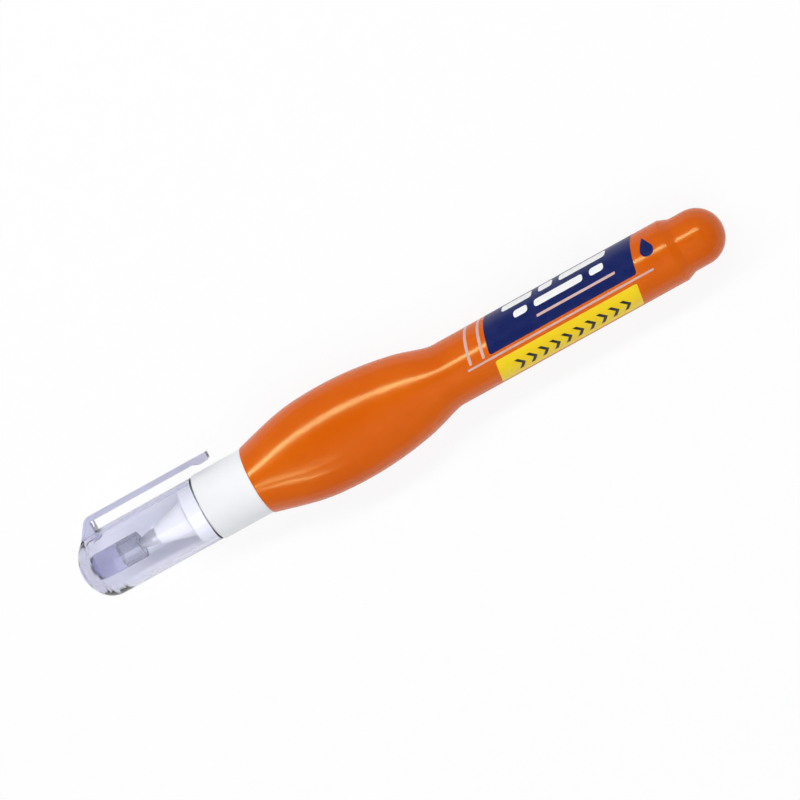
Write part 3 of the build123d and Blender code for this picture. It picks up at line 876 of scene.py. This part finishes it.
# %% Lamps
def strip_lamp(name, direction, distance, size, radiance, colour=(1, 1, 1), along=(1, 0, 0)):
    """An area lamp that faces the pen from a direction, its long side along a vector."""
    lamp = bpy.data.lights.new(name, "AREA")
    lamp.color = colour
    lamp.shape = "RECTANGLE"
    lamp.size, lamp.size_y = size
    lamp.energy = radiance * math.pi * size[0] * size[1]
    holder = bpy.data.objects.new(name, lamp)
    bpy.context.scene.collection.objects.link(holder)
    back = Vector(direction).normalized()
    side = (Vector(along) - back * back.dot(Vector(along))).normalized()
    turn = Matrix((side, back.cross(side), back)).transposed().to_4x4()
    holder.matrix_world = Matrix.Translation(back * distance) @ turn
    holder.visible_camera = False
    print(f"lamp {name}: {lamp.energy:.2f} W")
    return holder


LAMP_DISTANCE, FILL_DISTANCE = 0.60, 0.80
WARM = (0.9, 1.0, 0.40)
KEY_SIDE, FILL_SIDE, TIP_SIDE = (-0.10, 0.47, 0.88), (0.10, -0.42, 0.95), (-0.20, -0.10, 0.97)
KEY_SIZE, KEY_RADIANCE = (0.90, 0.08), 11.2
FILL_SIZE, FILL_RADIANCE = (0.70, 0.70), 2.05
STREAK_SIZE, STREAK_RADIANCE = (0.90, 0.055), 62.0
GLINT_SIZE, GLINT_RADIANCE = (0.15, 0.02), 30.0
TIP_SIZE, TIP_RADIANCE = (0.90, 0.90), 3.0
GLINTS = {
    "upper glint": ((-0.34, -0.23, 0.91), (0.12, -0.23, -0.05)),
    "lower glint": ((-0.34, -0.50, 0.79), (0.09, -0.17, -0.13)),
}
key = strip_lamp("key", KEY_SIDE, LAMP_DISTANCE, KEY_SIZE, KEY_RADIANCE)
fill = strip_lamp("fill", FILL_SIDE, FILL_DISTANCE, FILL_SIZE, FILL_RADIANCE)
streak = strip_lamp("streak", KEY_SIDE, LAMP_DISTANCE, STREAK_SIZE, STREAK_RADIANCE, WARM)
glints = []
for name, (direction, along) in GLINTS.items():
    glints.append(strip_lamp(name, direction, LAMP_DISTANCE, GLINT_SIZE, GLINT_RADIANCE, WARM, along))
tip_light = strip_lamp("tip light", TIP_SIDE, LAMP_DISTANCE, TIP_SIZE, TIP_RADIANCE)


# %% What each lamp lights
def light_only(lamp, pieces):
    """Lets a lamp light only the given pieces."""
    receivers = bpy.data.collections.new(f"lit by {lamp.name}")
    for piece in pieces:
        receivers.objects.link(piece)
    lamp.light_linking.receiver_collection = receivers
    print(lamp.name, "lights", len(pieces), "pieces")


for lamp in (key, fill):
    lamp.visible_glossy = False
for lamp in (streak, *glints, tip_light):
    lamp.visible_diffuse = False
key_pieces = [piece for name, piece in shown.items() if name != "cap"] + printed_pieces + [floor]
light_only(key, key_pieces)
light_only(fill, key_pieces + [shown["cap"]])
for lamp in (streak, *glints):
    light_only(lamp, [shown["bottle"]])
light_only(tip_light, [shown[name] for name in METALS])

# %% [markdown]
# Camera
#
# The photograph looks nearly straight down on the pen, a little from its rear end, with a long lens. The
# pen runs up to the right. A camera could be aimed by eye, but here its directions are worked out from a
# tilt and a roll, and the width of the square frame in real size sets the focal length.

# %% Camera
VIEW_TILT = math.radians(10.0)
VIEW_ROLL = math.radians(28.94)
VIEW_DISTANCE = 1.2
FRAME_WIDTH = 152.35 * MM
AIM_RIGHT, AIM_UP = -0.76 * MM, -0.19 * MM
SENSOR_WIDTH = 36.0
back = Vector((math.sin(VIEW_TILT), 0, math.cos(VIEW_TILT)))
level = Vector((math.cos(VIEW_TILT), 0, -math.sin(VIEW_TILT)))
across = Vector((0, 1, 0))
right = level * math.cos(VIEW_ROLL) - across * math.sin(VIEW_ROLL)
up = level * math.sin(VIEW_ROLL) + across * math.cos(VIEW_ROLL)
camera_data = bpy.data.cameras.new("photo camera")
camera_data.sensor_width = SENSOR_WIDTH
camera_data.lens = SENSOR_WIDTH * VIEW_DISTANCE / FRAME_WIDTH
camera = bpy.data.objects.new("photo_camera", camera_data)
bpy.context.scene.collection.objects.link(camera)
aim = right * AIM_RIGHT + up * AIM_UP
camera_turn = Matrix((right, up, back)).transposed().to_4x4()
camera.matrix_world = Matrix.Translation(aim + back * VIEW_DISTANCE) @ camera_turn
bpy.context.scene.camera = camera
bpy.context.scene.view_settings.view_transform = "Standard"
print(f"camera: {camera_data.lens:.1f} mm lens at {VIEW_DISTANCE} m")
